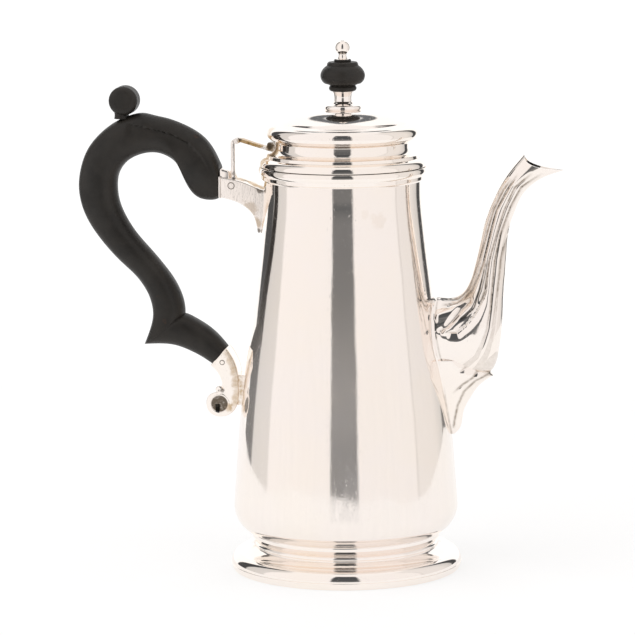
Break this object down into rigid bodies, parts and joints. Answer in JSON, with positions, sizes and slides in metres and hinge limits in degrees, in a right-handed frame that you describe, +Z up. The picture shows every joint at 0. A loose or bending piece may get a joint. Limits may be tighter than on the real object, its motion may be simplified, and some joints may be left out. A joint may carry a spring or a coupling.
{
  "type": "coffee pot",
  "caption": "Tapering silver coffee pot on a stepped foot, with a hinged domed lid, a curved fluted spout and a carved dark wooden handle.",
  "frame": {"origin": "on the pot's axis, at the centre of the foot's underside", "axes": "+Z up along the pot's axis, +X towards the spout, +Y to the left of someone looking along +X"},
  "size_m": [0.22, 0.1052, 0.24],
  "materials": {
    "silver": "polished silver with fine polishing scratches and light tarnish in the joints",
    "ebonised_wood": "ebonised hardwood with a dull wax sheen"
  },
  "bodies": {
    "pot": {"body_wall": "silver", "bottom_plate": "silver", "rim_moulding": "silver", "foot_ring": "silver", "foot_band": "silver", "spout_right_half": "silver", "spout_left_half": "silver", "spout_drop": "silver", "upper_socket": "silver", "upper_socket_pin": "silver", "lower_socket": "silver", "lower_socket_pin": "silver", "lower_wall_pad": "silver", "handle": "ebonised_wood", "hinge_stand": "silver", "stand_knuckles": "silver", "hinge_pin": "silver"},
    "lid": {"lid_dome": "silver", "lid_rim": "silver", "lid_bezel": "silver", "lid_arm": "silver", "lid_knuckle": "silver", "finial_base": "silver", "finial_knop": "ebonised_wood", "finial_washer": "ebonised_wood", "finial_cap": "silver", "finial_nut": "silver"}
  },
  "joints": [
    {"name": "lid_hinge", "type": "hinge", "parent": "pot", "child": "lid", "pos_m": [-0.0482, 0, 0.1947], "axis": [0, -1, 0], "range_deg": [0, 105]}
  ]
}
